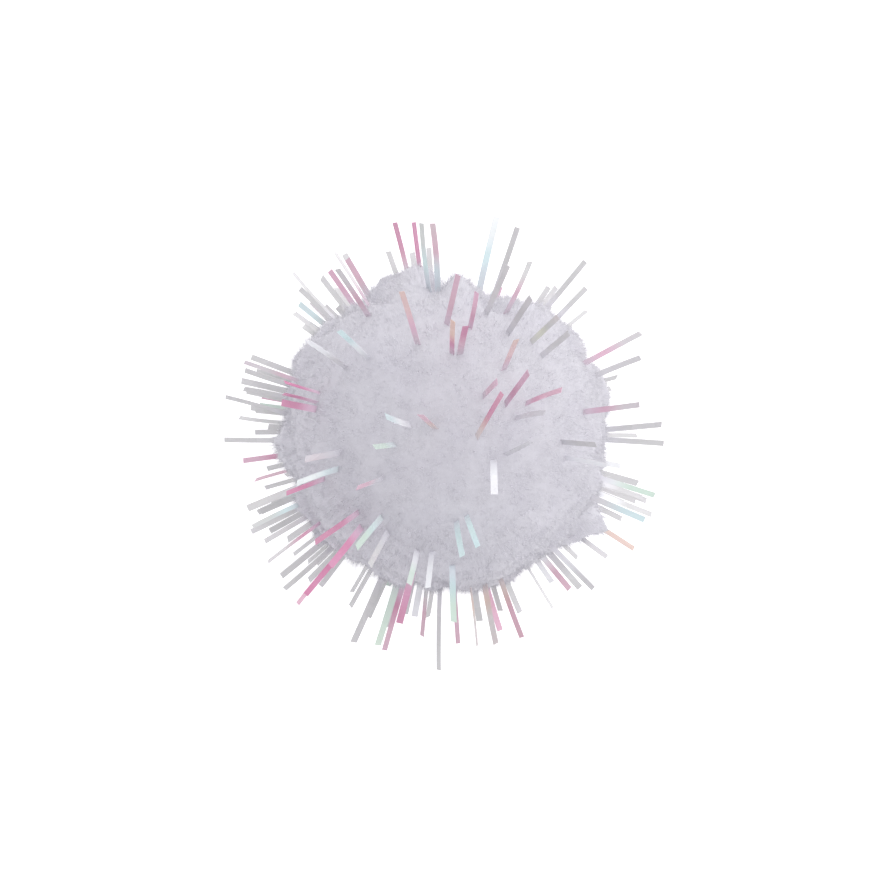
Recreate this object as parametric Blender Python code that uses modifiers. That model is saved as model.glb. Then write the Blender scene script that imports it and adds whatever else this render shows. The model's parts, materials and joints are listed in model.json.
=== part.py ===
"""A tinsel pom pom: a ball of soft fibre with straight, shiny film strips standing out of it.

A rope of fibre with flat film strips laid through it is tied at its waist with thread and cut to each
side. The fibre blooms into tufts around the tie and the stiffer film stays straight, so its cut ends
stand proud. The ball rests on a flattened underside at z = 0, with the tie level inside it and the two
cut halves of the rope above and below. Metres, +Z up.
"""

import math

import bmesh
import bpy
from mathutils import Matrix, Vector

MM = 0.001

# The ball
FLUFF_RADIUS = 14.0 * MM
CENTRE_HEIGHT = 13.0 * MM
CLEARANCE = 0.3 * MM

# The tie
FILM_BUNDLE_RADIUS = 0.65 * MM
FILM_BUNDLE_FLARE = 0.95 * MM
FILM_BUNDLE_HALF_LENGTH = 3.0 * MM
WAIST_RADIUS = 1.9 * MM
WAIST_FLARE = 2.7 * MM
WAIST_HALF_LENGTH = 2.4 * MM
WAIST_BAND_HALF = 1.0 * MM
THREAD_RADIUS = 0.18 * MM
THREAD_TURNS = 3
THREAD_PITCH = 0.5 * MM
THREAD_TAIL = 1.6 * MM
THREAD_TAIL_ANGLE = 0.9
KNOT_RADIUS = 0.42 * MM
KNOT_LUMP = 0.09

# The tufts: one around the axis and four around it, in each half
TUFT_INNER_RADIUS = 4.0 * MM
SIDE_TUFTS = 4
POLAR_TUFT_ANGLE = 34.0
TUFT_GAP_ANGLE = 2.0
PARTING_ANGLE = 2.0
TUFT_LUMP = 0.015
TUFT_CREASE = 0.45
TUFT_SHOULDER = 0.93
TUFT_SHOULDER_SPREAD = 1.02

# The film
FILM_WIDTH = 0.5 * MM
FILM_THICKNESS = 0.1 * MM
FILM_SEGMENTS = 4
PINNED_ROOT_RADIUS = 6.9 * MM
PINNED_HEIGHT = 0.12 * MM
PINNED_BOW = -9.0

# Fineness of the meshes: sections around a turned piece, along a dome and along the thread
BUNDLE_STEPS = 20
WAIST_STEPS = 28
DOME_STEPS = 40
DOME_SECTIONS = 9
THREAD_STEPS = 24
TAIL_STEPS = 10

FILM_TINTS = {
    "clear": (0.78, 0.78, 0.82, 1.0),
    "pink": (0.86, 0.32, 0.62, 1.0),
    "aqua": (0.62, 0.90, 0.88, 1.0),
    "green": (0.70, 0.88, 0.66, 1.0),
    "gold": (0.86, 0.58, 0.40, 1.0),
}

# Free strips, in sprays of two that leave the ball side by side and flex about the line through both
# roots. For each strip: azimuth and elevation in degrees, its tip's distance from the middle in mm, tint.
SPRAYS = [
    [(2, 4, 18.4, "clear"), (-3, 0, 18.6, "clear")],
    [(27, 14, 19.0, "pink"), (21, 10, 17.9, "clear")],
    [(51, 3, 18.8, "clear"), (46, 7, 17.2, "clear")],
    [(77, -6, 19.1, "aqua"), (71, -3, 18.6, "clear")],
    [(99, 5, 18.2, "pink"), (104, 0, 18.5, "pink")],
    [(126, -13, 17.7, "pink"), (120, -10, 17.5, "pink")],
    [(163, 4, 18.1, "clear"), (168, 0, 17.8, "clear")],
    [(188, -11, 18.1, "pink"), (182, -8, 19.4, "clear")],
    [(206, 8, 18.6, "aqua"), (211, 4, 18.2, "clear")],
    [(229, 3, 19.5, "pink"), (224, -2, 19.4, "clear")],
    [(252, -12, 19.8, "green"), (246, -9, 20.1, "clear")],
    [(268, 3, 20.4, "clear"), (273, 7, 18.2, "pink")],
    [(328, -10, 19.3, "gold"), (322, -7, 17.6, "clear")],
    [(86, 46, 18.8, "pink"), (78, 50, 18.4, "pink")],
    [(39, 42, 17.6, "clear"), (46, 40, 17.4, "gold")],
    [(348, 41, 18.0, "clear"), (355, 45, 17.6, "clear")],
    [(137, 49, 18.7, "aqua"), (147, 43, 18.9, "clear")],
    [(199, 45, 18.7, "aqua"), (191, 49, 18.3, "gold")],
    [(232, 49, 18.6, "green"), (240, 45, 18.2, "pink")],
    [(285, 58, 18.6, "aqua"), (277, 56, 18.6, "aqua")],
]

# Strips caught underneath, bent flat along the surface that the ball rests on: azimuth in degrees,
# length in mm, tint.
PINNED_STRIPS = [
    (14, 7.4, "clear"),
    (70, 6.8, "pink"),
    (131, 7.8, "clear"),
    (192, 7.0, "aqua"),
    (249, 7.6, "green"),
    (311, 7.2, "gold"),
]

CENTRE = Vector((0.0, 0.0, CENTRE_HEIGHT))


def clear_scene():
    for obj in list(bpy.data.objects):
        bpy.data.objects.remove(obj, do_unlink=True)


def make_collection(name):
    collection = bpy.data.collections.new(name)
    bpy.context.scene.collection.children.link(collection)
    return collection


def make_material(name, color, roughness):
    material = bpy.data.materials.new(name)
    material.use_nodes = True
    shader = material.node_tree.nodes["Principled BSDF"]
    shader.inputs["Base Color"].default_value = color
    shader.inputs["Roughness"].default_value = roughness
    shader.inputs["Metallic"].default_value = 0.0
    return material


def add_mesh_object(name, mesh, material, collection):
    obj = bpy.data.objects.new(name, mesh)
    mesh.materials.append(material)
    mesh.shade_smooth()
    mesh.set_sharp_from_angle(angle=math.radians(40))
    collection.objects.link(obj)
    return obj


def direction(azimuth, elevation):
    """The unit vector at an azimuth from +X and an elevation above level, both in degrees."""
    turn = math.radians(azimuth)
    rise = math.radians(elevation)
    return Vector((math.cos(turn) * math.cos(rise), math.sin(turn) * math.cos(rise), math.sin(rise)))


def turned(name, profile, steps, material, collection):
    """A solid of revolution about the ball's vertical axis, from (radius, height) points, top to bottom."""
    mesh = bpy.data.meshes.new(name)
    points = [(radius, 0.0, height) for radius, height in profile]
    edges = [(i, i + 1) for i in range(len(points) - 1)]
    mesh.from_pydata(points, edges, [])
    obj = add_mesh_object(name, mesh, material, collection)
    screw = obj.modifiers.new("Turn", "SCREW")
    screw.axis = "Z"
    screw.steps = steps
    screw.render_steps = steps
    screw.use_merge_vertices = True
    screw.merge_threshold = 0.00001
    return obj


def make_film_bundle(material, collection):
    """The strips' middles, side by side through the tie and fanning a little towards both ends."""
    half = FILM_BUNDLE_HALF_LENGTH
    profile = [
        (0.0, half),
        (FILM_BUNDLE_FLARE, half),
        (FILM_BUNDLE_RADIUS, WAIST_BAND_HALF),
        (FILM_BUNDLE_RADIUS, -WAIST_BAND_HALF),
        (FILM_BUNDLE_FLARE, -half),
        (0.0, -half),
    ]
    obj = turned("film_bundle", profile, BUNDLE_STEPS, material, collection)
    obj.location = CENTRE
    return obj


def make_fibre_waist(material, collection):
    """The tow's pinched middle: a spool around the film bundle, with the binding thread in its groove."""
    half = WAIST_HALF_LENGTH
    bore = FILM_BUNDLE_FLARE + CLEARANCE
    profile = [
        (bore, half),
        (WAIST_FLARE, half),
        (WAIST_RADIUS, WAIST_BAND_HALF),
        (WAIST_RADIUS, -WAIST_BAND_HALF),
        (WAIST_FLARE, -half),
        (bore, -half),
        (bore, half),
    ]
    obj = turned("fibre_waist", profile, WAIST_STEPS, material, collection)
    obj.location = CENTRE
    return obj


def thread_route():
    """Points along the thread: a tail, level turns around the waist, and a tail on the far side."""
    wound = WAIST_RADIUS + CLEARANCE / 2 + THREAD_RADIUS
    rise = THREAD_TURNS * THREAD_PITCH
    whole_turn = 2 * math.pi * THREAD_TURNS
    tail = []
    for i in range(1, TAIL_STEPS + 1):
        out = i / TAIL_STEPS
        tail.append((wound + THREAD_TAIL * out**2, THREAD_TAIL_ANGLE * out, rise / 2 * (1.0 - out) ** 2))
    steps = THREAD_STEPS * THREAD_TURNS
    turns = [(wound, whole_turn * i / steps, rise * (i / steps - 0.5)) for i in range(steps + 1)]
    points = [(radius, -angle, -height) for radius, angle, height in reversed(tail)]
    points += turns
    points += [(radius, whole_turn + angle, height) for radius, angle, height in tail]
    return [Vector((r * math.cos(a), r * math.sin(a), h)) for r, a, h in points]


def make_binding_thread(material, collection):
    route = thread_route()
    curve = bpy.data.curves.new("binding_thread", "CURVE")
    curve.dimensions = "3D"
    curve.bevel_depth = THREAD_RADIUS
    curve.bevel_resolution = 1
    curve.use_fill_caps = True
    spline = curve.splines.new("POLY")
    spline.points.add(len(route) - 1)
    for point, place in zip(spline.points, route):
        point.co = (*place, 1.0)
    curve.materials.append(material)
    obj = bpy.data.objects.new("binding_thread", curve)
    obj.location = CENTRE
    collection.objects.link(obj)
    return obj


def make_thread_knot(material, collection):
    """The knot, drawn down to one small hard lump where the two tails leave the turns."""
    bm = bmesh.new()
    bmesh.ops.create_icosphere(bm, subdivisions=2, radius=KNOT_RADIUS)
    for vertex in bm.verts:
        twist = math.sin(3 * math.atan2(vertex.co.y, vertex.co.x) + vertex.co.z / KNOT_RADIUS * 2)
        vertex.co *= 1.0 + KNOT_LUMP * twist
    mesh = bpy.data.meshes.new("thread_knot")
    bm.to_mesh(mesh)
    bm.free()
    obj = add_mesh_object("thread_knot", mesh, material, collection)
    out = WAIST_RADIUS + CLEARANCE + 2 * THREAD_RADIUS + KNOT_RADIUS + CLEARANCE
    obj.location = CENTRE + Vector((out, 0.0, 0.0))
    return obj


def make_polar_tuft(name, up, material, collection):
    """The tuft around the axis: a dome on a blunt cone. The lower one is cut off at the flat underside."""
    edge = math.radians(POLAR_TUFT_ANGLE)
    start = 0.0 if up else math.acos(CENTRE_HEIGHT / FLUFF_RADIUS)
    angles = [start + (edge - start) * i / DOME_SECTIONS for i in range(DOME_SECTIONS + 1)]
    dome = [(FLUFF_RADIUS * math.sin(angle), FLUFF_RADIUS * math.cos(angle)) for angle in angles]
    shoulder = FLUFF_RADIUS * TUFT_SHOULDER
    spread = edge * TUFT_SHOULDER_SPREAD
    foot = TUFT_INNER_RADIUS
    profile = dome + [
        (shoulder * math.sin(spread), shoulder * math.cos(spread)),
        (foot * math.sin(edge), foot * math.cos(edge)),
        (0.0, foot),
    ]
    if not up:
        profile = [(0.0, CENTRE_HEIGHT)] + profile
        profile = [(radius, -height) for radius, height in reversed(profile)]
    obj = turned(name, profile, DOME_STEPS, material, collection)
    obj.location = CENTRE
    return obj


def make_side_tuft(name, turn, up, material, collection):
    """One of the tufts around the axis: a box cage spread out into a wedge of the ball, then smoothed."""
    half_turn = math.pi / SIDE_TUFTS - math.radians(TUFT_GAP_ANGLE) / 2
    top = math.radians(POLAR_TUFT_ANGLE + TUFT_GAP_ANGLE)
    bottom = math.radians(90.0 - PARTING_ANGLE)
    bm = bmesh.new()
    bmesh.ops.create_cube(bm, size=2.0)
    bmesh.ops.subdivide_edges(bm, edges=bm.edges[:], cuts=2, use_grid_fill=True)
    for vertex in bm.verts:
        across, down, out = vertex.co
        polar = top + (bottom - top) * (down + 1.0) / 2
        azimuth = turn + half_turn * across
        lump = 1.0 - TUFT_LUMP * (1.0 + math.sin(5 * azimuth + 9 * polar))
        radius = TUFT_INNER_RADIUS + (FLUFF_RADIUS * lump - TUFT_INNER_RADIUS) * (out + 1.0) / 2
        flat = radius * math.sin(polar)
        height = radius * math.cos(polar) * (1 if up else -1)
        vertex.co = (flat * math.cos(azimuth), flat * math.sin(azimuth), height)
    if bm.calc_volume(signed=True) < 0:
        bmesh.ops.reverse_faces(bm, faces=bm.faces[:])
    crease = bm.edges.layers.float.new("crease_edge")
    for edge in bm.edges:
        if edge.calc_face_angle() > math.radians(40):
            edge[crease] = TUFT_CREASE
    mesh = bpy.data.meshes.new(name)
    bm.to_mesh(mesh)
    bm.free()
    obj = add_mesh_object(name, mesh, material, collection)
    smooth = obj.modifiers.new("Soften", "SUBSURF")
    smooth.levels = 1
    smooth.render_levels = 1
    obj.location = CENTRE
    return obj


def strip_mesh(name, length, place):
    """A ribbon of film: a thin box cut across, whose sections place(share) puts along its length.

    place returns the section's middle and the direction of its thickness; its width lies along X.
    """
    bm = bmesh.new()
    bmesh.ops.create_cube(bm, size=1.0)
    bmesh.ops.scale(bm, vec=(FILM_WIDTH, FILM_THICKNESS, length), verts=bm.verts[:])
    for i in range(1, FILM_SEGMENTS):
        cut = Vector((0.0, 0.0, length * (i / FILM_SEGMENTS - 0.5)))
        geometry = bm.verts[:] + bm.edges[:] + bm.faces[:]
        bmesh.ops.bisect_plane(bm, geom=geometry, plane_co=cut, plane_no=(0.0, 0.0, 1.0))
    for vertex in bm.verts:
        middle, thickness = place(vertex.co.z / length + 0.5)
        vertex.co = middle + thickness * vertex.co.y + Vector((vertex.co.x, 0.0, 0.0))
    mesh = bpy.data.meshes.new(name)
    bm.to_mesh(mesh)
    bm.free()
    return mesh


def arc(length, bow):
    """Where a strip's sections lie if its whole length bows through an angle, in the YZ plane."""

    def place(share):
        angle = bow * share
        if abs(bow) < 1e-6:
            return Vector((0.0, 0.0, length * share)), Vector((0.0, 1.0, 0.0))
        radius = length / bow
        middle = Vector((0.0, radius * (1.0 - math.cos(angle)), radius * math.sin(angle)))
        return middle, Vector((0.0, math.cos(angle), -math.sin(angle)))

    return place


def make_free_strip(name, tip, out, hinge, material, collection):
    """A strip's free end: its root on the hinge line at the ball's surface, its width along that line."""
    root = FLUFF_RADIUS + CLEARANCE
    length = tip * MM - root
    line = hinge.matrix_world.to_3x3().col[0]
    width = (line - out * line.dot(out)).normalized()
    axes = Matrix((width, out.cross(width), out)).transposed()
    obj = add_mesh_object(name, strip_mesh(name, length, arc(length, 0.0)), material, collection)
    obj.parent = hinge
    place = Matrix.Translation(CENTRE + out * root) @ axes.to_4x4()
    obj.matrix_local = hinge.matrix_world.inverted() @ place
    return obj


def make_spray(number, strips, materials, collection):
    """Two neighbouring strips, and the empty whose X axis is the line through their roots."""
    ways_out = [direction(azimuth, elevation) for azimuth, elevation, _, _ in strips]
    roots = [CENTRE + out * (FLUFF_RADIUS + CLEARANCE) for out in ways_out]
    line = (roots[1] - roots[0]).normalized()
    out = (ways_out[0] + ways_out[1]).normalized()
    axes = Matrix((line, out.cross(line), out)).transposed()
    hinge = bpy.data.objects.new(f"spray_{number:02d}_flex", None)
    hinge.matrix_world = Matrix.Translation((roots[0] + roots[1]) / 2) @ axes.to_4x4()
    hinge.empty_display_size = FILM_WIDTH
    collection.objects.link(hinge)
    first = len(strips) * (number - 1) + 1
    for i, (_, _, tip, tint) in enumerate(strips):
        make_free_strip(f"film_strip_{first + i:02d}", tip, ways_out[i], hinge, materials[tint], collection)
    return hinge


def make_pinned_strip(number, row, materials, collection):
    """A strip caught under the ball, bent flat along the surface, with its tip just lifting off it."""
    azimuth, length, tint = row
    name = f"pinned_strip_{number:02d}"
    length *= MM
    mesh = strip_mesh(name, length, arc(length, math.radians(PINNED_BOW)))
    obj = add_mesh_object(name, mesh, materials[tint], collection)
    out = direction(azimuth, 0)
    width = Vector((-out.y, out.x, 0.0))
    axes = Matrix((width, out.cross(width) * -1, out)).transposed()
    place = out * PINNED_ROOT_RADIUS + Vector((0.0, 0.0, PINNED_HEIGHT))
    obj.matrix_world = Matrix.Translation(place) @ axes.to_4x4()
    return obj


def main():
    clear_scene()
    pom = make_collection("pom_pom")
    fibre = make_material("fibre", (0.80, 0.79, 0.84, 1.0), 0.9)
    thread = make_material("thread", (0.82, 0.80, 0.80, 1.0), 0.7)
    films = {tint: make_material(f"film_{tint}", color, 0.2) for tint, color in FILM_TINTS.items()}

    make_film_bundle(films["clear"], pom)
    make_fibre_waist(fibre, pom)
    make_binding_thread(thread, pom)
    make_thread_knot(thread, pom)

    for half, up in (("upper", True), ("lower", False)):
        make_polar_tuft(f"{half}_middle_tuft", up, fibre, pom)
        for i in range(SIDE_TUFTS):
            turn = 2 * math.pi * (i + (0.0 if up else 0.5)) / SIDE_TUFTS
            make_side_tuft(f"{half}_side_tuft_{i + 1}", turn, up, fibre, pom)

    for number, strips in enumerate(SPRAYS, 1):
        make_spray(number, strips, films, pom)
    for number, row in enumerate(PINNED_STRIPS, 1):
        make_pinned_strip(number, row, films, pom)


main()
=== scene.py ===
"""The tinsel pom pom's looks: soft crimped fibre, iridescent film strips, the tie inside, and the studio.

Each CAD tuft gives way to thousands of tapered fibres over a soft core. Each spray of two CAD strips gives
way to ribbons of real film thickness, in one piece with the neighbours beside it, and the ball carries the
rest.
"""

import json
import math

import bmesh
import bpy
import numpy as np
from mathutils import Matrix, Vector
from mathutils.kdtree import KDTree


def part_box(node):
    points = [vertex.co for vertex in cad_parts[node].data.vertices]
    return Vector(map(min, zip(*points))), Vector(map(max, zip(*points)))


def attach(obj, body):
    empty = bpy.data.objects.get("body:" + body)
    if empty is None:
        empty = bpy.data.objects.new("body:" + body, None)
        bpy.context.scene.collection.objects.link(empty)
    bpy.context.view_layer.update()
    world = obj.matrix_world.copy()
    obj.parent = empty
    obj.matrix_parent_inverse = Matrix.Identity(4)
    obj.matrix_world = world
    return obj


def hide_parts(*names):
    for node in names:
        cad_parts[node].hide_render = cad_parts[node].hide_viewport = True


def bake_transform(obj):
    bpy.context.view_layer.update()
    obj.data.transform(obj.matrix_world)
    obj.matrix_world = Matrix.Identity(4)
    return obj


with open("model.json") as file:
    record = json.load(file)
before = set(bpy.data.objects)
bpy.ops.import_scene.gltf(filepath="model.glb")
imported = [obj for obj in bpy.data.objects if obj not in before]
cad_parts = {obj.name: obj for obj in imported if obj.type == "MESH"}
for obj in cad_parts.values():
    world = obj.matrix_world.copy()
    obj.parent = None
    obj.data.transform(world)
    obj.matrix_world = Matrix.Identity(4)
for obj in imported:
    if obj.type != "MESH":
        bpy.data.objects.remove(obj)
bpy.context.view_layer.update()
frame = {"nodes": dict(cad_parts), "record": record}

MM = 0.001
SEED = 11

# The fibre
FIBRES = 120000
FIBRE_RADIUS = 0.024 * MM
FIBRE_TAPER = 0.85
FIBRE_MIDDLE = 0.55
FIBRE_DEPTH = 1.5 * MM
FIBRE_SPREAD = 0.006
FIBRE_LEAN = 0.45 * MM
FIBRE_CRIMP = 0.12 * MM
FIBRE_SHORTFALL = 0.40 * MM
STRAY_SHARE = 0.03
STRAY_LENGTH = 0.55 * MM
CLUMPS = 1500
CLUMP_SPREAD = 0.02
CLUMP_PULL = 0.35
CLUMP_HEIGHT = 0.42 * MM
TIP_EVENNESS = 0.65
EVENNESS_FALL = 3
TIP_WHITENESS = 0.77
# The core's fibre is darker than the tips': painted shade for the fluff's depths, since the tips cast no
# shadows
CORE_PAINTED_SHADE_WHITENESS = 0.62
CORE_DEPTH = 0.40 * MM
CORE_GRAIN = 0.02 * MM
CORE_GRAIN_CYCLES = 45.0
CORE_DETAIL = 6
CORE_HOLLOW = 3.9 * MM
HOLLOW_DETAIL = 3
CORE_FLOOR = 0.45 * MM
FIBRE_LOW = (0.955, 0.935, 1.020)
FIBRE_HIGH = (0.985, 0.967, 1.042)
FLOOR_GAP = 0.05 * MM
FLOOR_SPLAY = 0.4 * MM
SWELL = 0.006
SWELL_CYCLES = 3.0
DIMPLE = 0.003
DIMPLE_CYCLES = 8.0
LOBE_SLANT = 0.35
LOBE_EDGE = 2.5

# Bulges and hollows round the ball's side: azimuth, elevation, half width and half height in degrees,
# and size in mm
LOBES = [
    (15, -3, 6, 10, 0.4),
    (29, 6, 3, 18, -0.5),
    (47, -5, 5, 20, -0.3),
    (61, 3, 7, 26, -1.1),
    (72, 0, 7, 26, -1.7),
    (83, -2, 6, 26, -1.0),
    (91.5, 2, 4, 24, -1.8),
    (100, 3, 5.5, 11, 0.75),
    (112, -4, 6, 9, 0.6),
    (121.5, 2, 3, 22, -1.1),
    (133, -4, 4, 22, -0.5),
    (153, 4, 6, 9, 0.6),
    (171, -5, 4, 9, 0.6),
    (182, 3, 4, 8, 0.9),
    (191, -3, 5, 9, 0.7),
    (208, 5, 5, 9, 0.6),
    (220, -4, 5, 9, 0.7),
    (238, 3, 6, 22, -0.5),
    (260, -3, 3, 20, -0.4),
    (271, 4, 6, 22, -0.5),
    (302, -4, 6, 22, -0.5),
    (308.5, 3, 2, 20, -0.4),
    (321, -2, 5, 10, 0.85),
    (329, 0, 4, 7, 2.3),
    (354, 4, 5, 20, -0.3),
]

# The film
FILM_WIDTH = 0.53 * MM
FILM_WIDTH_SPREAD = 0.16
FILM_THICKNESS = 0.025 * MM
FILM_ROOT = 0.85
FILM_SECTIONS = 14
FILM_SHARP_ANGLE = 40.0
FILM_FADING = 0.22
FILM_BRIGHTNESS = (0.88, 1.10)
TINT_TURN_START = (0.35, 0.55)
TINT_TURN_SPAN = 0.25
VEIL = 0.6
VEIL_DEPTH = 1.4 * MM
VEIL_COLOR = (0.70, 0.69, 0.75)
FILM_LEAN = 0.010
FILM_BOW = 0.09 * MM
FILM_END_SLANT = 0.05 * MM
SPRAY_REACH = 0.17
SPRAY_SWING = 0.07

# Linear colours of the film by name, and the record's slot that each belongs to
TINTS = {
    "clear": ((0.63, 0.625, 0.63), "film_clear"),
    # white: film painted near white, a painted highlight where strips catch the light
    "white": ((0.94, 0.95, 0.98), "film_clear"),
    "pink": ((0.71, 0.43, 0.54), "film_pink"),
    "magenta": ((0.62, 0.20, 0.37), "film_pink"),
    "aqua": ((0.66, 0.82, 0.84), "film_aqua"),
    "green": ((0.66, 0.80, 0.71), "film_green"),
    "gold": ((0.72, 0.53, 0.44), "film_gold"),
    "yellow": ((0.74, 0.75, 0.58), "film_gold"),
    "pale": ((0.64, 0.63, 0.67), "film_clear"),
}

# The CAD strips' tints, root then tip, in the order of their numbers; white marks a painted highlight
LEAD_TINTS = [
    "clear clear", "clear clear", "pink clear", "clear clear", "clear clear",
    "clear clear", "aqua white", "clear clear", "magenta magenta", "pink magenta",
    "pink pink", "pink pink", "clear clear", "clear clear", "magenta pink",
    "clear clear", "aqua clear", "clear clear", "magenta pink", "clear clear",
    "green green", "clear clear", "clear clear", "pink pink", "gold gold",
    "clear clear", "pink pink", "magenta pink", "clear clear", "yellow clear",
    "white white", "clear clear", "white aqua", "clear white", "aqua white",
    "pale pale", "aqua green", "pale clear", "aqua aqua", "aqua aqua",
]

# Where a CAD strip comes out of the fluff away from the line through its tip: azimuth and elevation
LEAD_ROOTS = {"film_strip_27": (92, 51)}

# The other strips that stand free: azimuth, elevation, tip from the middle in mm, roll, tints, and where
# the root doesn't point straight at the tip, its own azimuth and elevation
STRIPS = [
    # round the edge, from the right
    (8, 31, 19.0, 20, "pink clear"),
    (15, -38, 18.9, 30, "clear clear"),
    (18, -34, 18.9, 55, "clear clear"),
    (41, -31, 18.9, 50, "clear clear"),
    (53, -33, 19.0, 10, "clear clear"),
    (55, -35, 19.0, 15, "clear clear"),
    (58, 45, 18.6, 35, "clear clear"),
    (64, 32, 18.7, 50, "pink clear"),
    (70, 39, 19.0, 15, "clear clear", 73, 40),
    (94, 22, 19.0, 30, "aqua pink"),
    (97, 21, 19.0, 50, "aqua clear"),
    (101, -32, 18.9, 20, "clear clear"),
    (108, -29, 19.0, 15, "clear clear"),
    (122, 20, 19.0, 65, "pink clear"),
    (124, 30, 19.0, 35, "pink clear"),
    (129, -24, 19.0, 30, "clear clear"),
    (134, 6, 19.0, 60, "clear clear"),
    (136, -30, 19.0, 10, "pink clear"),
    (139, -26, 19.0, 10, "clear aqua"),
    (142, -27, 19.0, 35, "clear clear"),
    (159, -17, 19.0, 30, "clear clear"),
    (161, 12, 18.6, 50, "pink clear"),
    (166, -15, 19.0, 30, "clear clear"),
    (169, -30, 19.0, 10, "magenta pink"),
    (163, 34, 17.2, 62, "magenta magenta"),
    (167, 34, 17.0, 65, "pink magenta"),
    (170, 34, 17.0, 10, "magenta magenta"),
    (172, -29, 18.9, 5, "white green"),
    (171, 3, 19.2, 45, "clear clear", 176, 2),
    (176, -18, 19.0, 50, "clear clear"),
    (180, -28, 19.0, 25, "clear clear"),
    (194, -25, 19.0, 60, "pink pink"),
    (197, -29, 19.0, 40, "clear clear"),
    (201, 36, 17.8, 40, "magenta magenta"),
    (201, 18, 19.0, 20, "clear clear"),
    (203, -20, 19.0, 20, "aqua clear"),
    (207, -6, 19.0, 40, "clear clear"),
    (214, -28, 19.0, 30, "clear clear"),
    (216, 12, 19.2, 65, "magenta clear"),
    (220, 41, 19.0, 40, "magenta magenta", 223, 41),
    (221, -6, 19.0, 20, "clear clear"),
    (227, -22, 19.0, 40, "clear clear"),
    (229, 16, 19.0, 25, "magenta magenta"),
    (229, 36, 18.4, 15, "magenta magenta"),
    (241, -24, 19.0, 50, "clear clear"),
    (247, -23, 19.0, 20, "clear clear"),
    (254, -5, 19.6, 20, "magenta pink"),
    (256, 24, 18.2, 10, "magenta magenta"),
    (256, 41, 17.4, 30, "white green"),
    (260, -30, 18.9, 5, "white white"),
    (263, 41, 17.4, 30, "white white"),
    (263, -20, 19.0, 45, "clear pink"),
    (272, 33, 19.0, 10, "aqua green"),
    (278, 14, 18.9, 70, "gold clear"),
    (283, 12, 18.9, 30, "gold clear"),
    (285, -20, 19.0, 30, "pink pink"),
    (290, 12, 19.0, 35, "gold pink"),
    (301, -20, 19.0, 65, "clear clear"),
    (305, -32, 18.9, 15, "white white"),
    (308, -24, 19.0, 10, "white pink"),
    (313, 16, 18.9, 30, "white clear"),
    (316, -33, 18.9, 30, "clear clear"),
    (336, 14, 18.9, 10, "clear aqua"),
    (338, -8, 19.2, 30, "white clear"),
    (341, -16, 19.0, 15, "white clear"),
    (343, 13, 18.9, 15, "white green"),
    (345, -25, 19.0, 25, "clear clear"),
    (349, -35, 18.9, 5, "white white"),
    (359, -29, 19.0, 40, "clear clear"),
    # over the top
    (108, 50, 19.0, 35, "pink gold", 110, 59),
    (87, 61, 18.9, 30, "magenta gold"),
    (80, 62, 18.8, 20, "pink magenta"),
    (53, 60, 19.0, 45, "pink gold", 44, 59),
    (36, 64, 18.9, 40, "magenta pink", 20, 68),
    (20, 58, 19.0, 40, "magenta pink"),
    (35, 73, 18.9, 30, "gold magenta", 313, 78),
    (45, 72, 18.9, 40, "pink pink"),
    (11, 64, 18.7, 35, "pale pale"),
    (353, 68, 18.6, 40, "pale pale", 332, 66),
    (307, 70, 18.9, 0, "white white", 339, 69),
    (148, 82, 18.6, 50, "gold pink", 196, 87),
    (166, 74, 18.9, 40, "white aqua", 172, 78),
    (192, 70, 18.0, 30, "aqua green"),
    (212, 62, 18.7, 50, "pale pink", 216, 60),
]

# Clear strips that stand close beside the ones at the side
COMPANION_TOP = 25
COMPANION_SHARE = 0.7
COMPANION_TURN = (0.9, 2.6)
COMPANION_ELEVATION = (-24.0, -14.0)
COMPANION_BELOW = 4.0
COMPANION_ROLL = 60
COMPANION_SHORT = (0.2 * MM, 1.7 * MM)

# Strips under the ball: those that point down all round, then those that lie bent along the floor
LOW_STRIPS = 30
LOW_SHIFT = 0.4
LOW_ROLL = 70
LOW_ELEVATION = (-43.0, -36.0)
LOW_TIP = (16.6 * MM, 18.0 * MM)
BENT_STRIPS = 22
BENT_SHIFT = 0.35
BENT_TURN = 7.0
BENT_ROLL = 14
BENT_LENGTH = (5.5 * MM, 7.4 * MM)
BENT_ROOT = 5.4 * MM
BENT_HEIGHT = 0.15 * MM
BENT_LIFT = (0.8 * MM, 2.6 * MM)
COMMON_TINTS = ["clear clear"] * 5 + [
    "white clear", "pink clear", "magenta pink", "aqua clear", "green aqua", "gold pink",
]

# The studio
CAMERA_HEIGHT = 450.0 * MM
CAMERA_X = -0.26 * MM
CAMERA_Y = -1.03 * MM
FRAME_WIDTH = 76.1 * MM
SENSOR_WIDTH = 36.0
FLOOR_RADIUS = 1.2
COVE_RADIUS = 0.4
COVE_SIDES = 96
COVE_STEPS = 13
FLOOR_GLOW = 0.42
SKY_COLOR = (0.97, 0.97, 1.0)
SKY_STRENGTH = 0.84
KEY_PLACE = (0.22, 0.20, 0.42)
KEY_SIZE = 0.45
KEY_POWER = 1.15
KEY_COLOR = (1.0, 0.99, 0.97)


def middle(node):
    low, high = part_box(node)
    return np.array((low + high) / 2)


CENTRE = middle("fibre_waist")
BALL_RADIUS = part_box("upper_middle_tuft")[1].z - CENTRE[2]


# ---------------------------------------------------------------- small helpers


def direction(azimuth, elevation):
    turn = math.radians(azimuth)
    rise = math.radians(elevation)
    return np.array((math.cos(turn) * math.cos(rise), math.sin(turn) * math.cos(rise), math.sin(rise)))


def unit(vectors):
    return vectors / np.linalg.norm(vectors, axis=-1, keepdims=True)


def level_line(out):
    """The level unit vector across a direction, for one that isn't straight up."""
    return unit(np.array((-out[1], out[0], 0.0)))


def turned(vector, axis, angle):
    """vector turned about a unit axis, in radians."""
    return (
        vector * math.cos(angle)
        + np.cross(axis, vector) * math.sin(angle)
        + axis * axis.dot(vector) * (1.0 - math.cos(angle))
    )


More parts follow.
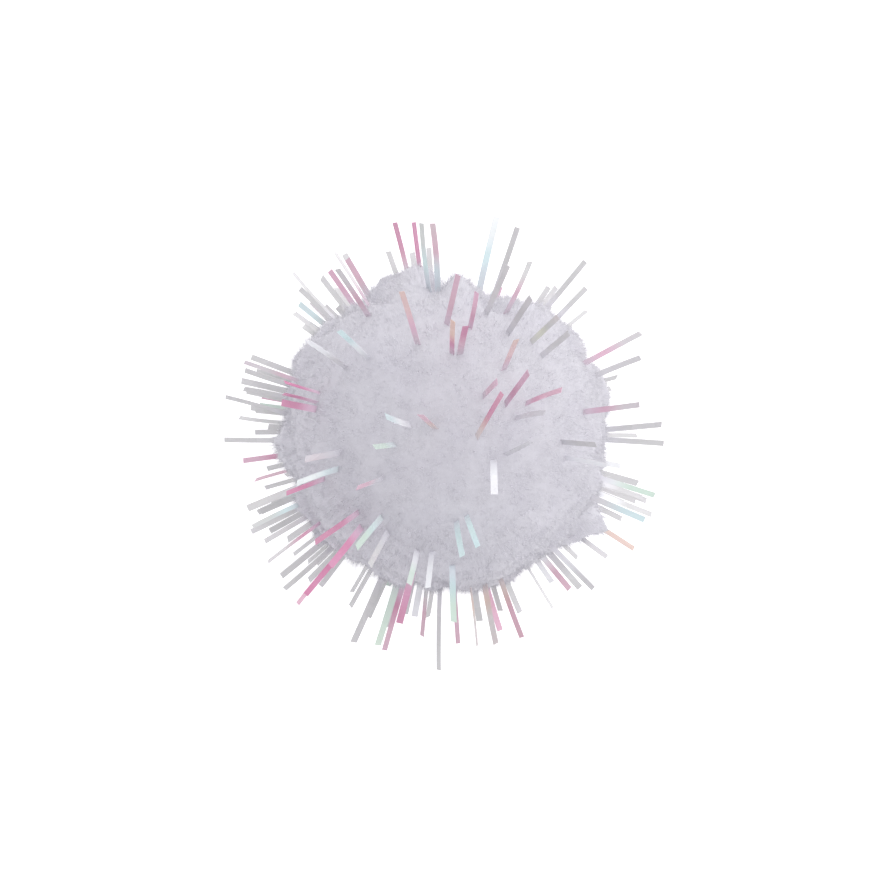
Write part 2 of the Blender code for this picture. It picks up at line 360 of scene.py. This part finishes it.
def even_directions(count):
    """Unit vectors spread evenly over the sphere, along a spiral."""
    step = np.arange(count) + 0.5
    height = 1.0 - 2.0 * step / count
    turn = step * math.pi * (3.0 - math.sqrt(5.0))
    flat = np.sqrt(1.0 - height**2)
    return np.stack((flat * np.cos(turn), flat * np.sin(turn), height), axis=1)


def ripple(ways, cycles, rng, waves=24):
    """A smooth random field over directions, with a spread of about one."""
    total = np.zeros(len(ways))
    for _ in range(waves):
        along = unit(rng.normal(size=3))
        total += np.sin(ways @ along * cycles * math.pi + rng.uniform(0.0, 2.0 * math.pi))
    return total * math.sqrt(2.0 / waves)


def surface_radius(ways):
    """How far out the fluff reaches in each direction: the ball, its lobes, swells and dimples.

    Each lobe slants its own way, by an amount that its azimuth gives.
    """
    rng = np.random.default_rng(SEED)
    radius = np.full(len(ways), BALL_RADIUS)
    azimuths = np.degrees(np.arctan2(ways[:, 1], ways[:, 0]))
    elevations = np.degrees(np.arcsin(np.clip(ways[:, 2], -1.0, 1.0)))
    for azimuth, elevation, half_width, half_height, size in LOBES:
        across = ((azimuths - azimuth + 180.0) % 360.0 - 180.0) * np.cos(np.radians(elevations))
        across += LOBE_SLANT * np.sin(azimuth) * (elevations - elevation)
        upward = elevations - elevation
        falling = np.abs(across / half_width) ** LOBE_EDGE + np.abs(upward / half_height) ** LOBE_EDGE
        radius += size * MM * np.exp(-falling)
    radius += BALL_RADIUS * SWELL * ripple(ways, SWELL_CYCLES, rng)
    radius += BALL_RADIUS * DIMPLE * ripple(ways, DIMPLE_CYCLES, rng)
    return radius


def mesh_from_arrays(name, points, loops, starts):
    """A mesh from numpy arrays: points, the corners of all faces in a row, and where each face starts."""
    mesh = bpy.data.meshes.new(name)
    mesh.vertices.add(len(points))
    mesh.vertices.foreach_set("co", points.astype(np.float32).ravel())
    mesh.loops.add(len(loops))
    mesh.loops.foreach_set("vertex_index", loops.astype(np.int32))
    mesh.polygons.add(len(starts))
    mesh.polygons.foreach_set("loop_start", starts.astype(np.int32))
    mesh.update(calc_edges=True)
    mesh.validate()
    mesh.shade_smooth()
    return mesh


def add_value(mesh, name, values):
    mesh.attributes.new(name, "FLOAT", "POINT").data.foreach_set("value", values.astype(np.float32))


def add_color(mesh, name, colors):
    full = np.ones((len(colors), 4), np.float32)
    full[:, :3] = colors
    mesh.attributes.new(name, "FLOAT_COLOR", "POINT").data.foreach_set("color", full.ravel())


def add_piece(name, mesh, material):
    obj = bpy.data.objects.new(name, mesh)
    mesh.materials.append(material)
    bpy.context.scene.collection.objects.link(obj)
    return obj


# ---------------------------------------------------------------- materials


class Nodes:
    """A material's node tree, with short calls for the nodes used here."""

    def __init__(self, name):
        self.material = bpy.data.materials.new(name)
        self.material.use_nodes = True
        self.tree = self.material.node_tree
        self.shader = self.tree.nodes["Principled BSDF"]

    def add(self, kind, **settings):
        node = self.tree.nodes.new(kind)
        for key, value in settings.items():
            setattr(node, key, value)
        return node

    def link(self, output, socket):
        self.tree.links.new(output, socket)

    def place(self):
        return self.add("ShaderNodeTexCoord").outputs["Object"]

    def noise(self, size, detail=2.0):
        """A noise whose features are about that size, in metres."""
        node = self.add("ShaderNodeTexNoise")
        node.inputs["Scale"].default_value = 1.0 / size
        node.inputs["Detail"].default_value = detail
        self.link(self.place(), node.inputs["Vector"])
        return node.outputs["Fac"]

    def attribute(self, name, output="Fac"):
        return self.add("ShaderNodeAttribute", attribute_name=name).outputs[output]

    def ramp(self, value, low, high, start=0.3, end=0.7):
        """A value spread from one number or colour to another between start and end."""
        node = self.add("ShaderNodeValToRGB")
        stops = node.color_ramp.elements
        stops[0].position, stops[1].position = start, end
        stops[0].color = (*low, 1.0) if isinstance(low, tuple) else (low, low, low, 1.0)
        stops[1].color = (*high, 1.0) if isinstance(high, tuple) else (high, high, high, 1.0)
        self.link(value, node.inputs["Fac"])
        return node.outputs["Color"]

    def mix(self, a, b, factor=1.0, blend="MIX"):
        node = self.add("ShaderNodeMix", data_type="RGBA", blend_type=blend)
        for value, socket in ((factor, node.inputs[0]), (a, node.inputs[6]), (b, node.inputs[7])):
            if isinstance(value, bpy.types.NodeSocket):
                self.link(value, socket)
            else:
                socket.default_value = (*value, 1.0) if isinstance(value, tuple) else value
        return node.outputs[2]

    def bump(self, height, distance, strength=0.5):
        node = self.add("ShaderNodeBump")
        node.inputs["Strength"].default_value = strength
        node.inputs["Distance"].default_value = distance
        self.link(height, node.inputs["Height"])
        self.link(node.outputs["Normal"], self.shader.inputs["Normal"])


def fibre_material(name, whiteness):
    n = Nodes(name)
    low, high = (tuple(whiteness * part for part in color) for color in (FIBRE_LOW, FIBRE_HIGH))
    patches = n.ramp(n.noise(3.5 * MM), low, high)
    grain = n.ramp(n.noise(0.22 * MM, 3.0), 0.96, 1.0)
    strand = n.ramp(n.attribute("shade"), 0.94, 1.0, 0.0, 1.0)
    color = n.mix(n.mix(patches, grain, 1.0, "MULTIPLY"), strand, 1.0, "MULTIPLY")
    n.link(color, n.shader.inputs["Base Color"])
    n.shader.inputs["Roughness"].default_value = 0.85
    n.shader.inputs["Specular IOR Level"].default_value = 0.2
    n.shader.inputs["Sheen Weight"].default_value = 0.35
    n.shader.inputs["Sheen Roughness"].default_value = 0.4
    return n.material


def thread_material():
    n = Nodes("thread_twisted")
    twist = n.add("ShaderNodeTexWave", wave_type="BANDS", bands_direction="DIAGONAL")
    twist.inputs["Scale"].default_value = 1.0 / (1.4 * MM)
    twist.inputs["Distortion"].default_value = 1.5
    n.link(n.place(), twist.inputs["Vector"])
    plies = n.ramp(twist.outputs["Fac"], (0.60, 0.58, 0.60), (0.84, 0.82, 0.84), 0.2, 0.8)
    fuzz = n.ramp(n.noise(0.08 * MM, 3.0), 0.88, 1.0)
    n.link(n.mix(plies, fuzz, 1.0, "MULTIPLY"), n.shader.inputs["Base Color"])
    n.shader.inputs["Roughness"].default_value = 0.7
    n.bump(twist.outputs["Fac"], 0.04 * MM)
    return n.material


def film_material(slot, painted_iridescence):
    """Thin iridescent film: the ribbon's own tint, with a second hue drifting over it in patches as painted
    reflection, in place of the film's angle-dependent colour play.
    """
    n = Nodes(slot + "_iridescent")
    tint = n.attribute("tint", "Color")
    painted_iridescence_share = n.ramp(n.noise(4.0 * MM, 1.0), 0.0, 0.30, 0.42, 0.72)
    hue = n.mix(tint, painted_iridescence, painted_iridescence_share)
    streak = n.ramp(n.noise(3.0 * MM, 1.0), 0.94, 1.03)
    n.link(n.mix(hue, streak, 1.0, "MULTIPLY"), n.shader.inputs["Base Color"])
    n.link(n.ramp(n.noise(3.0 * MM, 1.0), 0.20, 0.32), n.shader.inputs["Roughness"])
    n.shader.inputs["Alpha"].default_value = 0.86
    n.shader.inputs["IOR"].default_value = 1.5
    n.shader.inputs["Coat Weight"].default_value = 0.35
    n.shader.inputs["Coat Roughness"].default_value = 0.08
    n.bump(n.noise(3.0 * MM, 1.0), 0.02 * MM, 0.3)
    return n.material


FIBRE = fibre_material("fibre_tips", TIP_WHITENESS)
# A darker copy of the fibre, as painted shade under the tips
PACKED_FIBRE_PAINTED_SHADE = fibre_material("fibre_packed", CORE_PAINTED_SHADE_WHITENESS)
THREAD = thread_material()
# Each slot's second hue is painted reflection: the film's iridescent colour play fixed in its colour
FILMS = {
    "film_clear": film_material("film_clear", (0.70, 0.66, 0.72)),
    "film_pink": film_material("film_pink", (0.78, 0.50, 0.70)),
    "film_aqua": film_material("film_aqua", (0.70, 0.84, 0.76)),
    "film_green": film_material("film_green", (0.74, 0.84, 0.70)),
    "film_gold": film_material("film_gold", (0.76, 0.50, 0.52)),
}


# ---------------------------------------------------------------- the fluff

TUFT_NODES = [name for name in frame["nodes"] if name.endswith("_tuft") or "_side_tuft_" in name]


def tuft_of(ways):
    """The tuft that each direction belongs to, as an index into TUFT_NODES."""
    middles = unit(np.array([middle(name) - CENTRE for name in TUFT_NODES]))
    return np.argmax(ways @ middles.T, axis=1)


def clump_ways():
    """The direction of each clump of fibres."""
    rng = np.random.default_rng(SEED)
    return unit(even_directions(CLUMPS) + rng.normal(scale=CLUMP_SPREAD, size=(CLUMPS, 3)))


CLUMP_WAYS = clump_ways()


def clump_of(ways):
    """The nearest clump to each direction."""
    tree = KDTree(CLUMPS)
    for i, way in enumerate(CLUMP_WAYS):
        tree.insert(way, i)
    tree.balance()
    return np.array([tree.find(way)[1] for way in ways])


def clump_height(ways, clump, even):
    """How far each direction's clump stands above the surface: less at the top, by the share even."""
    heights = np.random.default_rng(SEED + 3).uniform(-CLUMP_HEIGHT, CLUMP_HEIGHT, CLUMPS)
    return heights[clump] * (1.0 - even + even * (1.0 - np.abs(ways[:, 2])) ** EVENNESS_FALL)


def fibre_lines(rng):
    """Root, middle and tip of each fibre, and the direction that it was grown in."""
    ways = unit(even_directions(FIBRES) + rng.normal(scale=FIBRE_SPREAD, size=(FIBRES, 3)))
    clump = clump_of(ways)
    outer = surface_radius(ways) + clump_height(ways, clump, TIP_EVENNESS)
    outer -= FIBRE_SHORTFALL * rng.random(FIBRES) ** 2
    outer += STRAY_LENGTH * rng.random(FIBRES) * (rng.random(FIBRES) < STRAY_SHARE)
    lean = rng.normal(scale=FIBRE_LEAN, size=(FIBRES, 3))
    lean -= ways * np.sum(lean * ways, axis=1, keepdims=True)
    pull = (CLUMP_WAYS[clump] - ways) * outer[:, None] * CLUMP_PULL
    tips = ways * outer[:, None] + lean + pull
    roots = ways * (outer - FIBRE_DEPTH)[:, None]
    crimp = rng.normal(scale=FIBRE_CRIMP, size=(FIBRES, 3))
    middles = roots * (1.0 - FIBRE_MIDDLE) + tips * FIBRE_MIDDLE + crimp
    lines = np.stack((roots, middles, tips), axis=1) + CENTRE
    floor = FLOOR_GAP + FIBRE_RADIUS + FLOOR_SPLAY * rng.random((FIBRES, 3)) ** 2
    lines[:, :, 2] = np.maximum(lines[:, :, 2], floor)
    return lines, ways


def fibre_mesh(name, lines, shades):
    """Closed three-sided fibres that taper to a point, one for each row of lines."""
    count = len(lines)
    along = unit(lines[:, 2] - lines[:, 0])
    side = unit(np.cross(along, np.array((0.31, 0.52, 0.79))))
    other = np.cross(along, side)
    points = np.empty((count, 7, 3))
    for level, radius in ((0, FIBRE_RADIUS), (1, FIBRE_RADIUS * FIBRE_TAPER)):
        for corner in range(3):
            angle = 2.0 * math.pi * corner / 3.0
            offset = (side * math.cos(angle) + other * math.sin(angle)) * radius
            points[:, 3 * level + corner] = lines[:, level] + offset
    points[:, 6] = lines[:, 2]
    faces = [(0, 2, 1)]
    faces += [(i, (i + 1) % 3, 3 + (i + 1) % 3, 3 + i) for i in range(3)]
    faces += [(3 + i, 3 + (i + 1) % 3, 6) for i in range(3)]
    corners = np.array([corner for face in faces for corner in face])
    sizes = np.array([len(face) for face in faces])
    starts = np.concatenate(([0], np.cumsum(sizes)[:-1]))
    loops = (corners + 7 * np.arange(count)[:, None]).ravel()
    all_starts = (starts + len(corners) * np.arange(count)[:, None]).ravel()
    points = points.reshape(-1, 3)
    mesh = mesh_from_arrays(name, points, loops, all_starts)
    add_value(mesh, "shade", np.repeat(shades, 7))
    return mesh


def make_fluff():
    rng = np.random.default_rng(SEED)
    lines, ways = fibre_lines(rng)
    shades = rng.random(FIBRES)
    tuft = tuft_of(ways)
    for i, node in enumerate(TUFT_NODES):
        mine = tuft == i
        name = node.replace("tuft", "fluff")
        piece = add_piece(name, fibre_mesh(name, lines[mine], shades[mine]), FIBRE)
        piece.visible_shadow = False
        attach(piece, "pom")
        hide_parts(node)


def make_fluff_core():
    """The packed fibre under the tips, in a darker copy of the fibre's material that paints in the shade of
    the fluff's depths: a lumpy shell around the space for the tie.
    """
    rng = np.random.default_rng(SEED + 1)
    bm = bmesh.new()
    bmesh.ops.create_icosphere(bm, subdivisions=CORE_DETAIL, radius=1.0)
    ways = np.array([vertex.co for vertex in bm.verts])
    radius = surface_radius(ways) + clump_height(ways, clump_of(ways), 1.0) - CORE_DEPTH
    radius += CORE_GRAIN * ripple(ways, CORE_GRAIN_CYCLES, rng)
    points = ways * radius[:, None] + CENTRE
    points[:, 2] = np.maximum(points[:, 2], CORE_FLOOR)
    for vertex, point in zip(bm.verts, points):
        vertex.co = point
    hollow = bmesh.ops.create_icosphere(bm, subdivisions=HOLLOW_DETAIL, radius=CORE_HOLLOW)["verts"]
    bmesh.ops.translate(bm, verts=hollow, vec=CENTRE)
    bmesh.ops.reverse_faces(bm, faces=list({face for vertex in hollow for face in vertex.link_faces}))
    mesh = bpy.data.meshes.new("fluff_core")
    bm.to_mesh(mesh)
    bm.free()
    mesh.shade_smooth()
    add_value(mesh, "shade", rng.random(len(mesh.vertices)))
    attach(add_piece("fluff_core", mesh, PACKED_FIBRE_PAINTED_SHADE), "pom")


# ---------------------------------------------------------------- the film


class Ribbons:
    """Film ribbons gathered for one piece."""

    def __init__(self):
        self.points, self.faces, self.colors, self.nodes = [], [], [], []

    def add(self, spine, line, tints, rng):
        """A ribbon along the spine's points, its width along line, coloured from root tint to tip tint.

        Near the ball the colour gives way to the fibre's, as loose fibres veil the film's root.
        """
        start = sum(len(p) for p in self.points)
        count = len(spine)
        share = np.linspace(0.0, 1.0, count)
        along = unit(np.gradient(spine, axis=0))
        width = unit(line - along * np.sum(along * line, axis=1, keepdims=True))
        thick = np.cross(along, width)
        slant = rng.uniform(-1.0, 1.0) * FILM_END_SLANT * (share > 0.999)[:, None] * along
        breadth = FILM_WIDTH * (1.0 + FILM_WIDTH_SPREAD * rng.uniform(-1.0, 1.0))
        rows = []
        for across, through in ((-1, -1), (1, -1), (1, 1), (-1, 1)):
            edge = width * across * breadth / 2 + thick * through * FILM_THICKNESS / 2
            rows.append(spine + edge + slant * across)
        self.points.append(np.stack(rows, axis=1).reshape(-1, 3))
        for i in range(count - 1):
            base = start + 4 * i
            for j in range(4):
                k = (j + 1) % 4
                self.faces.append((base + j, base + k, base + 4 + k, base + 4 + j))
        end = start + 4 * (count - 1)
        self.faces.append((start + 3, start + 2, start + 1, start))
        self.faces.append((end, end + 1, end + 2, end + 3))
        root, tip = (np.array(TINTS[name][0]) for name in tints.split())
        turn = np.clip((share - rng.uniform(*TINT_TURN_START)) / TINT_TURN_SPAN, 0.0, 1.0)[:, None]
        shades = (root * (1.0 - turn) + tip * turn) * rng.uniform(*FILM_BRIGHTNESS)
        fading = rng.uniform(0.0, FILM_FADING)
        shades = shades * (1.0 - fading) + np.array(TINTS["clear"][0]) * fading
        away = np.linalg.norm(spine - CENTRE, axis=1)
        veil = VEIL * np.clip(1.0 - (away - BALL_RADIUS) / VEIL_DEPTH, 0.0, 1.0)[:, None]
        shades = shades * (1.0 - veil) + np.array(VEIL_COLOR) * veil
        self.colors.append(np.repeat(shades, 4, axis=0))

    def mesh(self, name):
        mesh = bpy.data.meshes.new(name)
        mesh.from_pydata(np.concatenate(self.points), [], self.faces)
        mesh.shade_smooth()
        mesh.set_sharp_from_angle(angle=math.radians(FILM_SHARP_ANGLE))
        add_color(mesh, "tint", np.concatenate(self.colors))
        return mesh


def spine_out(way, line, tip, rng, root_way=None):
    """A nearly straight spine from inside the fluff to the tip, with a slight lean and bow."""
    lean = rng.normal(scale=FILM_LEAN, size=3)
    root_way = unit((way if root_way is None else root_way) + lean)
    root = CENTRE + root_way * BALL_RADIUS * FILM_ROOT
    end = CENTRE + way * tip
    share = np.linspace(0.0, 1.0, FILM_SECTIONS)[:, None]
    bow = np.cross(line, way) * rng.normal(scale=FILM_BOW)
    return root * (1.0 - share) + end * share + bow * 4.0 * share * (1.0 - share)


def cad_strip(node):
    """The middle of a CAD strip's root end and of its tip end, from its mesh."""
    vertices = frame["nodes"][node].data.vertices
    points = np.unique(np.round([vertex.co for vertex in vertices], 7), axis=0)
    away = np.linalg.norm(points - CENTRE, axis=1)
    order = np.argsort(away)
    return points[order[:4]].mean(axis=0), points[order[-4:]].mean(axis=0)


def read_sprays():
    """Each spray's hinge point, hinge line and way out, by its body's name, from the record."""
    sprays = {}
    for joint in frame["record"]["behaviour"]["joints"]:
        hinge = np.array(joint["pos_m"])
        sprays[joint["child"]] = (hinge, unit(np.array(joint["axis"])), unit(hinge - CENTRE))
    return sprays


def spray_beside(way, sprays):
    """The spray whose piece a strip in this direction is gathered into, or None if it stands by itself."""
    for body, (_, line, out) in sprays.items():
        offset = way - out
        swing = abs(offset @ np.cross(line, out))
        if way @ out > 0 and swing < SPRAY_SWING and abs(offset @ line) < SPRAY_REACH:
            return body
    return None


def slot_of(tints):
    return TINTS[tints.split()[0]][1]


def make_film():
    rng = np.random.default_rng(SEED + 2)
    sprays = read_sprays()
    groups = {}

    def group(body, slot):
        return groups.setdefault((body, slot), Ribbons())

    bodies = frame["record"]["behaviour"]["bodies"]
    body_of = {node: body for body, nodes in bodies.items() for node in nodes}
    leads = sorted(name for name in frame["nodes"] if name.startswith("film_strip_"))
    for node, tints in zip(leads, LEAD_TINTS):
        _, end = cad_strip(node)
        way = unit(end - CENTRE)
        line = sprays[body_of[node]][1]
        root_way = direction(*LEAD_ROOTS[node]) if node in LEAD_ROOTS else way
        ribbons = group(body_of[node], frame["nodes"][node].data.materials[0].name)
        ribbons.add(spine_out(way, line, np.linalg.norm(end - CENTRE), rng, root_way), line, tints, rng)
        ribbons.nodes.append(node)

    for azimuth, elevation, tip, roll, tints, *root in STRIPS:
        way = direction(azimuth, elevation)
        root_way = direction(*root) if root else way
        run = unit(way * tip * MM - root_way * BALL_RADIUS * FILM_ROOT)
        line = turned(level_line(run), run, math.radians(roll * rng.choice((-1, 1))))
        ribbons = group(spray_beside(way, sprays) or "pom", slot_of(tints))
        ribbons.add(spine_out(way, line, tip * MM, rng, root_way), line, tints, rng)
        if elevation > COMPANION_TOP or rng.random() > COMPANION_SHARE:
            continue
        turn = rng.choice((-1, 1)) * rng.uniform(*COMPANION_TURN)
        below = min(elevation - COMPANION_BELOW, rng.uniform(*COMPANION_ELEVATION))
        beside = direction(azimuth + turn, below)
        line = turned(level_line(beside), beside, math.radians(rng.uniform(-COMPANION_ROLL, COMPANION_ROLL)))
        ribbons = group(spray_beside(beside, sprays) or "pom", "film_clear")
        length = tip * MM - rng.uniform(*COMPANION_SHORT)
        ribbons.add(spine_out(beside, line, length, rng), line, "clear clear", rng)

    for i in range(LOW_STRIPS):
        azimuth = 360.0 * (i + rng.uniform(-LOW_SHIFT, LOW_SHIFT)) / LOW_STRIPS
        way = direction(azimuth, rng.uniform(*LOW_ELEVATION))
        line = turned(level_line(way), way, math.radians(rng.uniform(-LOW_ROLL, LOW_ROLL)))
        tints = COMMON_TINTS[rng.integers(len(COMMON_TINTS))]
        ribbons = group(spray_beside(way, sprays) or "pom", slot_of(tints))
        ribbons.add(spine_out(way, line, rng.uniform(*LOW_TIP), rng), line, tints, rng)

    add_pinned(group, rng)
    for (body, slot), ribbons in groups.items():
        name = f"{body}_{slot}" if body != "pom" else f"standing_{slot}"
        piece = add_piece(name, ribbons.mesh(name), FILMS[slot])
        piece.visible_shadow = False
        if ribbons.nodes:
            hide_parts(*ribbons.nodes)
        if body == "pom":
            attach(piece, "pom")
            continue
        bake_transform(piece)


def add_pinned(group, rng):
    """The strips caught under the ball, which lie along the floor and lift a little at their tips."""
    share = np.linspace(0.0, 1.0, FILM_SECTIONS)[:, None]
    up = np.array((0.0, 0.0, 1.0))
    for node in sorted(name for name in frame["nodes"] if name.startswith("pinned_strip_")):
        root, end = cad_strip(node)
        out = unit((end - root) * (1.0, 1.0, 0.0))
        start = out * BENT_ROOT + up * root[2]
        spine = start * (1.0 - share) + end * share
        spine[:, 2] = root[2] + (end[2] - root[2]) * share[:, 0] ** 2
        slot = frame["nodes"][node].data.materials[0].name
        tint = slot.replace("film_", "")
        ribbons = group("pom", slot)
        ribbons.add(spine, np.cross(up, out), f"{tint} {tint}", rng)
        ribbons.nodes.append(node)
    for i in range(BENT_STRIPS):
        azimuth = 360.0 * (i + rng.uniform(-BENT_SHIFT, BENT_SHIFT)) / BENT_STRIPS + BENT_TURN
        out = direction(azimuth, 0.0)
        length = rng.uniform(*BENT_LENGTH)
        height = FLOOR_GAP + BENT_HEIGHT + rng.uniform(*BENT_LIFT) * share**2
        spine = out * (BENT_ROOT + length * share) + up * height
        tints = COMMON_TINTS[rng.integers(len(COMMON_TINTS))]
        line = turned(np.cross(up, out), out, math.radians(rng.uniform(-BENT_ROLL, BENT_ROLL)))
        group("pom", slot_of(tints)).add(spine, line, tints, rng)


# ---------------------------------------------------------------- the tie, inside


def finish_tie():
    for node, material in (
        ("film_bundle", FILMS["film_clear"]),
        ("fibre_waist", PACKED_FIBRE_PAINTED_SHADE),
        ("binding_thread", THREAD),
        ("thread_knot", THREAD),
    ):
        frame["nodes"][node].data.materials[0] = material


# ---------------------------------------------------------------- the studio


def make_floor():
    """A round white floor whose rim curves up, so that no horizon shows behind the object."""
    n = Nodes("floor_paper")
    n.link(n.ramp(n.noise(6.0 * MM), 0.925, 0.945), n.shader.inputs["Base Color"])
    n.shader.inputs["Roughness"].default_value = 0.9
    n.shader.inputs["Specular IOR Level"].default_value = 0.1
    n.shader.inputs["Emission Color"].default_value = (1.0, 1.0, 1.0, 1.0)
    n.shader.inputs["Emission Strength"].default_value = FLOOR_GLOW
    turns = np.radians(np.arange(0.0, 360.0, 360.0 / COVE_SIDES))
    around = np.stack((np.cos(turns), np.sin(turns), np.zeros(COVE_SIDES)), axis=1)
    rings = [around * FLOOR_RADIUS]
    for rise in np.radians(np.linspace(0.0, 90.0, COVE_STEPS)[1:]):
        ring = around * (FLOOR_RADIUS + COVE_RADIUS * math.sin(rise))
        rings.append(ring + np.array((0.0, 0.0, COVE_RADIUS * (1.0 - math.cos(rise)))))
    faces = [tuple(range(COVE_SIDES))]
    for base in range(0, COVE_SIDES * (COVE_STEPS - 1), COVE_SIDES):
        for i in range(COVE_SIDES):
            j = (i + 1) % COVE_SIDES
            faces.append((base + i, base + COVE_SIDES + i, base + COVE_SIDES + j, base + j))
    mesh = bpy.data.meshes.new("floor")
    mesh.from_pydata(np.concatenate(rings), [], faces)
    mesh.shade_smooth()
    mesh.materials.append(n.material)
    floor = bpy.data.objects.new("floor", mesh)
    bpy.context.scene.collection.objects.link(floor)


def add_area_light(name, place, size, power, color):
    light = bpy.data.lights.new(name, "AREA")
    light.size = size
    light.energy = power
    light.color = color
    obj = bpy.data.objects.new(name, light)
    obj.location = place
    aim = Vector(CENTRE) - Vector(place)
    obj.rotation_euler = aim.to_track_quat("-Z", "Y").to_euler()
    bpy.context.scene.collection.objects.link(obj)


def make_lights():
    world = bpy.data.worlds.new("studio")
    world.use_nodes = True
    background = world.node_tree.nodes["Background"]
    background.inputs["Color"].default_value = (*SKY_COLOR, 1.0)
    background.inputs["Strength"].default_value = SKY_STRENGTH
    bpy.context.scene.world = world
    add_area_light("key", KEY_PLACE, KEY_SIZE, KEY_POWER, KEY_COLOR)


def make_camera():
    data = bpy.data.cameras.new("camera")
    data.sensor_width = SENSOR_WIDTH
    data.lens = SENSOR_WIDTH * CAMERA_HEIGHT / FRAME_WIDTH
    data.clip_start = 0.01
    camera = bpy.data.objects.new("camera", data)
    camera.location = (CENTRE[0] + CAMERA_X, CENTRE[1] + CAMERA_Y, CENTRE[2] + CAMERA_HEIGHT)
    bpy.context.scene.collection.objects.link(camera)
    bpy.context.scene.camera = camera


make_fluff()
make_fluff_core()
make_film()
finish_tie()
make_floor()
make_lights()
make_camera()
bpy.context.scene.view_settings.view_transform = "Standard"
